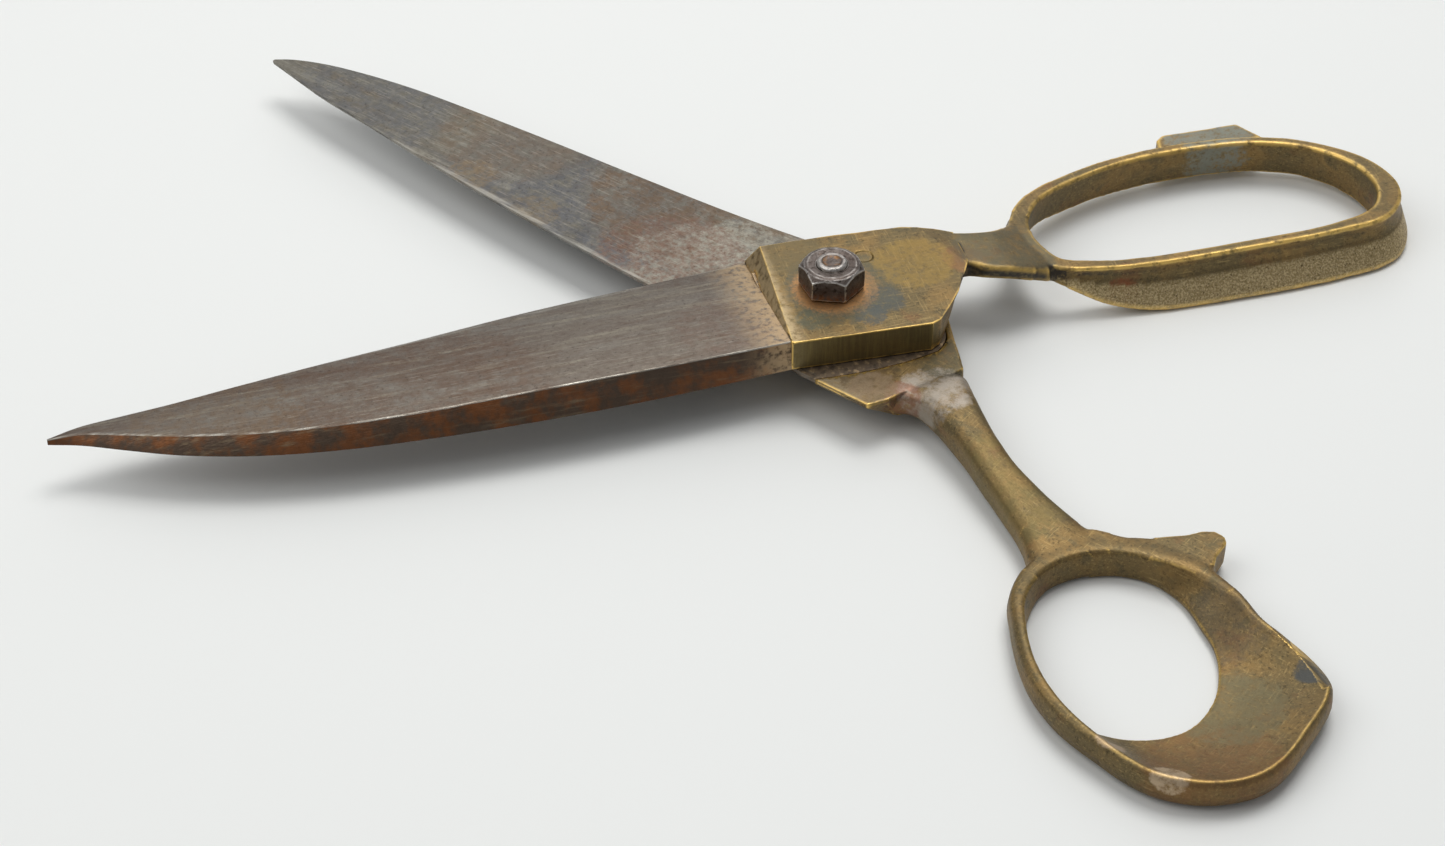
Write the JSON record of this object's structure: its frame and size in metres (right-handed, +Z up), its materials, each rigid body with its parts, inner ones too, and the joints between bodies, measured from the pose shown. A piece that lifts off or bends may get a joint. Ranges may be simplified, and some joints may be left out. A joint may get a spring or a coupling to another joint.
{
  "type": "fabric shears",
  "caption": "Open tailor's shears: forged steel blades riveted into cast brass handles, a long finger bow and a dished thumb bow, turning on a bolt and hexagon nut.",
  "frame": {"origin": "on the pivot axis, at the flat underside of the bolt head, which rests on the table", "axes": "+Z up along the pivot bolt, -X towards the blade tips, +X towards the handles, +Y towards the finger bow's outer side"},
  "size_m": [0.2863, 0.229, 0.0238],
  "materials": {
    "blade_steel": "forged and ground steel, dark patina with light rust",
    "cast_brass": "sand-cast brass, aged, edges rubbed bright",
    "pivot_steel": "worn forged steel, rust at the foot",
    "rivet_brass": "brass, filed flush and aged"
  },
  "bodies": {
    "lower_half": {"lower_blade": "blade_steel", "thumb_bow_handle": "cast_brass", "lower_tang_rivet": "rivet_brass", "pivot_bolt": "pivot_steel", "pivot_nut": "pivot_steel"},
    "upper_half": {"upper_blade": "blade_steel", "finger_bow_handle": "cast_brass", "upper_tang_rivet": "rivet_brass"}
  },
  "joints": [
    {"name": "pivot", "type": "hinge", "parent": "lower_half", "child": "upper_half", "pos_m": [0, 0, 0.01], "axis": [0, 0, 1], "range_deg": [-52, 38]}
  ]
}
